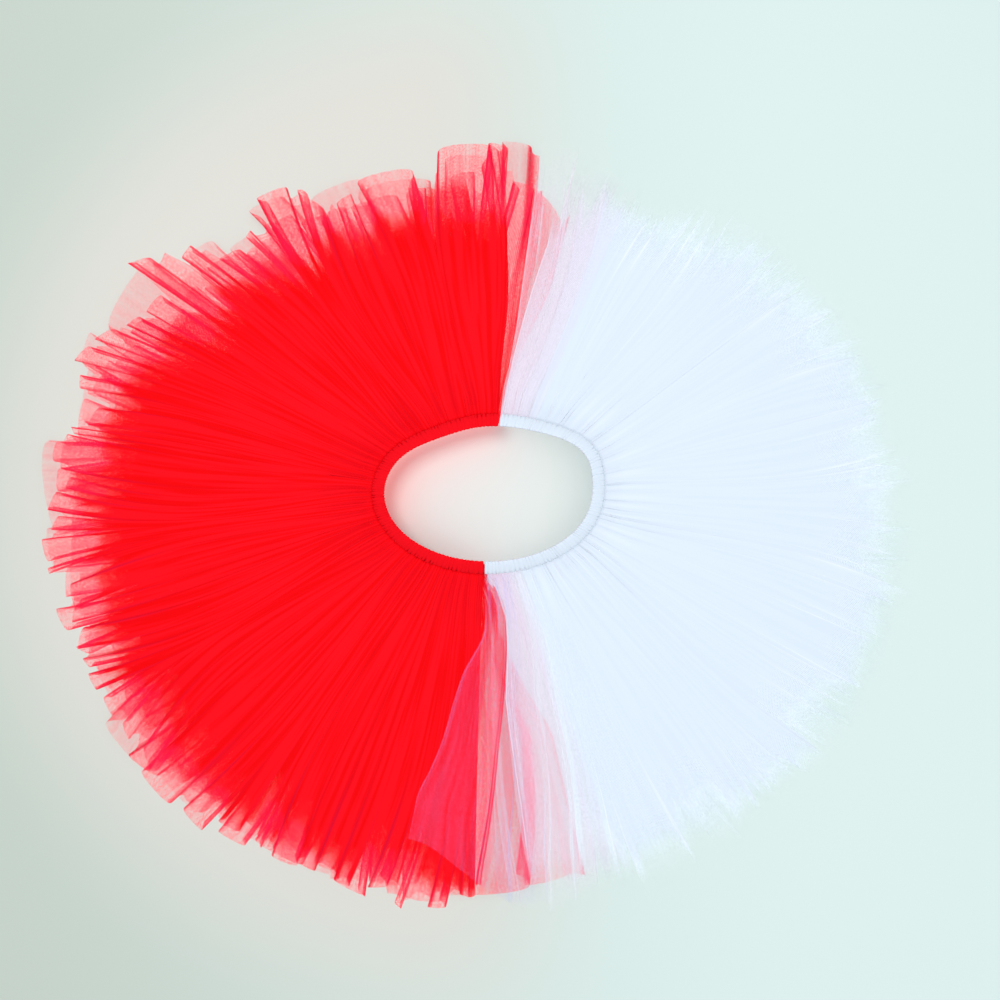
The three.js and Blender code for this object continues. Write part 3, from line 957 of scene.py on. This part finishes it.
def make_ply(ply, materials):
    """One ply of net as a piece: a single sheet, gathered into its casing."""
    name = f"{ply['half']}_ply_{ply['level']}"
    points, at = ply_shape(ply)
    mesh, quads = grid_mesh(name, points)
    shade_evenly(mesh, points, quads)
    at_hem = np.append(0, np.cumsum(np.linalg.norm(np.diff(points, axis=0), axis=-1)[:, -1]))
    down = np.append(0, np.cumsum(np.linalg.norm(np.diff(points, axis=1), axis=-1).mean(axis=0)))
    across = np.broadcast_to(at_hem[:, None], points.shape[:2])
    along = np.broadcast_to(down[None, :], points.shape[:2])
    add_uv(mesh, quads, across, along)
    for layer, values in ply_looks(ply, at).items():
        add_layer(mesh, layer, values)
    piece = add_piece(name, mesh, materials[ply["half"]])
    # Net lets most light through: no ply casts a shadow, and light bounces off the lowest one alone.
    piece.visible_shadow = False
    piece.visible_diffuse = ply["level"] == 1
    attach(piece, "root")
    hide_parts(f"tulle_{ply['half']}_{LEVEL_NODES[ply['level']]}")


# The casing lies on the gathers as a shallow cone with its inner edge raised: a tube that is pressed
# flatter than its thickness between its puckers.
BAND_WIDTH = 11.8 * MM
BAND_THICKNESS = 3.4 * MM
BAND_PRESSED = 0.86
BAND_TILT = np.radians(33)
BAND_OUT = 5.4 * MM
BAND_HEIGHT = 30.3 * MM
BAND_SQUARENESS = 2.6
BAND_SEEDS = {"red": 31, "white": 32}
BAND_CORNERS = 28

# Its puckers: how many to a half, how wide and tall they are beside each other, how sharp the creases
# between them are, and how tall and notched the last ring is.
PUCKERS = 84
PUCKER_COLUMNS = 9
PUCKER_WIDTH = (0.6, 1.4)
PUCKER_TALL = (0.4, 1.3)
PUCKER_SHARPNESS = 0.7
LAST_TALL = 0.8
LAST_NOTCH = 0.5

# Where a point of the tube is on its top, at its outer edge and at its inner one, by how far up or
# across it is.
ON_TOP = (-0.2, 0.5)
OUTER_EDGE = (0.2, 0.75)
INNER_EDGE = (0.35, 0.95)

# What a pucker does, in mm: how far it lifts the tube, how much more at its edges, the share of that by
# which its underside drops, and how far its edges move. The levels are how high on a ridge nothing
# moves.
LIFT = 0.3
LIFT_OUTER = 1.0
LIFT_INNER = 0.45
LIFT_BELOW = 0.4
LIFT_LEVEL = 0.7
SCALLOP_OUTER = 1.3
SCALLOP_INNER = 0.5
SCALLOP_LEVEL = 0.6

# How strong the painted shade of a crease is away from the notches.
LEAST_CREASE = 0.06


def casing_points(half):
    """Half of the ruched casing, as rings of points, and how strongly painted shade darkens each point in a
    crease.

    Its section is a flattened tube, |across| ^ 2.6 + |up| ^ 2.6 = 1, carried round the waist. Each
    pucker is the ridge |sin| ^ 0.7, which lifts the tube along its middle, scallops its inner edge and
    notches its outer one unevenly.
    """
    rng = np.random.default_rng(BAND_SEEDS[half])
    first, last = HALVES[half]
    width = rng.uniform(*PUCKER_WIDTH, PUCKERS)
    width /= width.sum()
    start = np.cumsum(width) - width
    t = np.arange(PUCKER_COLUMNS) / PUCKER_COLUMNS
    u = np.append((start[:, None] + width[:, None] * t).ravel(), 1.0)[:, None]
    wave = np.append(np.tile(t, PUCKERS), 1.0)[:, None]
    tall = np.append(np.repeat(rng.uniform(*PUCKER_TALL, PUCKERS), PUCKER_COLUMNS), LAST_TALL)[:, None]
    notch = np.append(np.repeat(rng.uniform(0, 1, PUCKERS) ** 2, PUCKER_COLUMNS), LAST_NOTCH)[:, None]
    turn = np.linspace(0, 2 * np.pi, BAND_CORNERS, endpoint=False)[None, :]
    across = -np.sign(np.cos(turn)) * np.abs(np.cos(turn)) ** (2 / BAND_SQUARENESS)
    up = np.sign(np.sin(turn)) * np.abs(np.sin(turn)) ** (2 / BAND_SQUARENESS)
    ridge = np.abs(np.sin(np.pi * wave)) ** PUCKER_SHARPNESS
    on_top = smooth(*ON_TOP, up)
    outer = smooth(*OUTER_EDGE, across)
    inner = smooth(*INNER_EDGE, -across)
    lift = (ridge - LIFT_LEVEL) * tall * (LIFT + LIFT_OUTER * outer * notch + LIFT_INNER * inner) * MM
    scallop = (ridge - SCALLOP_LEVEL) * (SCALLOP_OUTER * outer * notch - SCALLOP_INNER * inner) * MM
    along = across * BAND_WIDTH / 2 + scallop
    high = up * BAND_THICKNESS / 2 * BAND_PRESSED + lift * np.where(up >= 0, 1, -LIFT_BELOW)
    out = BAND_OUT + along * np.cos(BAND_TILT) + high * np.sin(BAND_TILT)
    x, y = plan(first + (last - first) * u, out)
    z = BAND_HEIGHT - along * np.sin(BAND_TILT) + high * np.cos(BAND_TILT)
    # Painted shade: the creases between puckers darken on top, most at the outer notches.
    crease = (1 - ridge) ** 2 * (LEAST_CREASE + outer * notch) * on_top
    return np.stack([x, y, z], axis=-1), np.clip(crease, 0, 1)


def cap(mesh, ends):
    """Closes both ends of a tube with one face each."""
    shell = bmesh.new()
    shell.from_mesh(mesh)
    shell.verts.ensure_lookup_table()
    for ring in ends:
        shell.faces.new([shell.verts[i] for i in ring])
    shell.to_mesh(mesh)
    shell.free()


def make_casing(half, materials):
    """Half of the ruched casing as a piece: a closed tube of cloth over its elastic."""
    name = f"casing_{half}"
    points, crease = casing_points(half)
    mesh, quads = grid_mesh(name, points, around=True)
    first_ring = list(range(BAND_CORNERS))
    last_ring = [corner + len(mesh.vertices) - BAND_CORNERS for corner in first_ring]
    along = np.append(0, np.cumsum(np.linalg.norm(np.diff(points, axis=0), axis=-1).mean(axis=1)))
    around = np.linspace(0, 2 * (BAND_WIDTH + BAND_THICKNESS), BAND_CORNERS)
    add_layer(mesh, "crease", crease)
    across_uv = np.broadcast_to(around[None, :], crease.shape)
    along_uv = np.broadcast_to(along[:, None], crease.shape)
    add_uv(mesh, quads, across_uv, along_uv)
    cap(mesh, [first_ring[::-1], last_ring])
    piece = add_piece(name, mesh, materials[half])
    # The red casing shades and tints what is near it, and the white one leaves that bright.
    piece.visible_shadow = half == "red"
    piece.visible_diffuse = half == "red"
    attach(piece, "root")
    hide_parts(f"waistband_{half}")


# The floor's shades, with light painted on: painted shade to its left and light to its right,
# a painted bounce of red light round the red half, and painted light in the waist opening.
FLOOR_SIZE = 30
FLOOR_LEFT_PAINTED_SHADE = (0.41, 0.465, 0.42, 1)
FLOOR_RIGHT_PAINTED_LIGHT = (0.525, 0.625, 0.61, 1)
FLOOR_PAINTED_RED_BOUNCE = (0.535, 0.525, 0.49, 1)
FLOOR_PAINTED_LIGHT_IN_WAIST = (0.59, 0.64, 0.62, 1)

# Where one shade runs into the next: along X, and by distance from the middle of the waist.
LEFT_TO_RIGHT = (-0.45, 0.3)
TO_SKIRT = (0.48, 0.32)
TO_RED = (0.12, -0.06)
TO_WAIST = (0.11, 0.04)
FLOOR_ROUGHNESS = 0.6
FLOOR_SHEEN = 0.1


def make_floor():
    """A pale floor with light painted on: darker to one side as painted shade, warmer round the red half
    as a painted bounce of red light, and lighter in the waist opening as painted light.
    """
    mesh = bpy.data.meshes.new("floor")
    corners = [(-1, -1), (1, -1), (1, 1), (-1, 1)]
    mesh.from_pydata([(x * FLOOR_SIZE, y * FLOOR_SIZE, 0) for x, y in corners], [], [(0, 1, 2, 3)])
    material = bpy.data.materials.new("pale floor")
    material.use_nodes = True
    tree = material.node_tree
    place = add_node(tree, "ShaderNodeTexCoord").outputs["Object"]
    apart = add_node(tree, "ShaderNodeSeparateXYZ", {0: place})
    # Painted shade and light: the floor darker to the left and lighter to the right.
    to_right = add_ramp(tree, apart.outputs["X"], *LEFT_TO_RIGHT)
    shade = add_mix(tree, to_right, FLOOR_LEFT_PAINTED_SHADE, FLOOR_RIGHT_PAINTED_LIGHT)
    waist = {0: place, 1: (WAIST_X, WAIST_Y, 0)}
    from_waist = add_node(tree, "ShaderNodeVectorMath", waist, operation="DISTANCE").outputs["Value"]
    # Painted light: a warm bounce of red light on the floor round the red half.
    by_skirt = add_ramp(tree, from_waist, *TO_SKIRT)
    painted_red_bounce = add_math(tree, "MULTIPLY", by_skirt, add_ramp(tree, apart.outputs["X"], *TO_RED))
    shade = add_mix(tree, painted_red_bounce, shade, FLOOR_PAINTED_RED_BOUNCE)
    # Painted light: the floor lighter inside the waist opening.
    shade = add_mix(tree, add_ramp(tree, from_waist, *TO_WAIST), shade, FLOOR_PAINTED_LIGHT_IN_WAIST)
    skin = tree.nodes["Principled BSDF"]
    tree.links.new(shade, skin.inputs["Base Color"])
    skin.inputs["Roughness"].default_value = FLOOR_ROUGHNESS
    skin.inputs["Specular IOR Level"].default_value = FLOOR_SHEEN
    floor = add_piece("floor", mesh, material)


# The two lamps, and the light of the room all round.
KEY = dict(place=(-0.5, 0.6, 2.2), size=0.9, power=27, colour=(1.0, 0.99, 0.98))
FILL = dict(place=(1.3, -0.8, 1.8), size=1.6, power=13, colour=(0.96, 0.98, 1.0))
ROOM_COLOUR = (0.97, 0.99, 1.0, 1)
ROOM_LIGHT = 0.85


def add_light(name, place, size, power, colour):
    """A soft area light at a place, turned towards the middle of the skirt."""
    lamp = bpy.data.lights.new(name, "AREA")
    lamp.size = size
    lamp.energy = power
    lamp.color = colour
    light = bpy.data.objects.new(name, lamp)
    bpy.context.scene.collection.objects.link(light)
    light.location = place
    light.rotation_euler = (-light.location).to_track_quat("-Z", "Y").to_euler()


def make_camera():
    """A camera straight above, a little to one side of the waist, as the photograph frames it."""
    lens = bpy.data.cameras.new("camera")
    lens.sensor_width = SENSOR
    lens.lens = SENSOR * (CAMERA_HEIGHT - VIEW_LEVEL) / VIEW_WIDTH
    lens.clip_end = VIEW_REACH
    camera = bpy.data.objects.new("camera", lens)
    camera.location = (WAIST_X + VIEW_FROM_WAIST[0], WAIST_Y + VIEW_FROM_WAIST[1], CAMERA_HEIGHT)
    bpy.context.scene.collection.objects.link(camera)
    bpy.context.scene.camera = camera


def make_light():
    """Soft light from the upper left, a broader one from the lower right, and pale light from all round."""
    add_light("key", **KEY)
    add_light("fill", **FILL)
    world = bpy.data.worlds.new("studio")
    world.use_nodes = True
    back = world.node_tree.nodes["Background"]
    back.inputs["Color"].default_value = ROOM_COLOUR
    back.inputs["Strength"].default_value = ROOM_LIGHT
    scene = bpy.context.scene
    scene.world = world
    scene.view_settings.view_transform = "Standard"
    # A ray crosses many plies and folds of net before it ends.
    scene.cycles.transparent_max_bounces = 64
    scene.cycles.diffuse_bounces = 2
    scene.cycles.max_bounces = 3
    scene.cycles.use_light_tree = False


make_camera()
make_light()
make_floor()
NET = make_net_group()
# Red creases take two darker reds as painted shade, white creases two paler whites as painted highlights.
TULLE = {
    "red": make_tulle(
        name="red tulle",
        colour=(0.75, 0.003, 0.009, 1),
        deep=(0.68, 0.0005, 0.0025, 1),
        thin=(0.92, 0.009, 0.058, 1),
        light=(0.6, 0.0005, 0.006, 1),
        shade=(0.55, 0.003, 0.025, 1),
        crease_gain=8,
        net=NET,
        glow=(1.3, 0.02, 0.04, 1),
    ),
    "white": make_tulle(
        name="white tulle",
        colour=(0.55, 0.625, 0.72, 1),
        deep=(0.54, 0.612, 0.71, 1),
        thin=(0.6, 0.685, 0.76, 1),
        light=(0.68, 0.735, 0.8, 1),
        shade=(0.585, 0.65, 0.735, 1),
        crease_gain=4,
        net=NET,
        blush=(0.61, 0.5, 0.61, 1),
        shaded_over_red=(0.2, 0.28, 0.74, 1),
    ),
}
# Each casing's second colour is the painted shade in the creases between its puckers.
CASING = {
    "red": make_casing_cloth("red casing", (0.73, 0.003, 0.009, 1), (0.4, 0.0, 0.003, 1)),
    "white": make_casing_cloth("white casing", (0.57, 0.64, 0.73, 1), (0.5, 0.58, 0.68, 1)),
}
for ply in PLIES:
    make_ply(ply, TULLE)
for half in HALVES:
    make_casing(half, CASING)
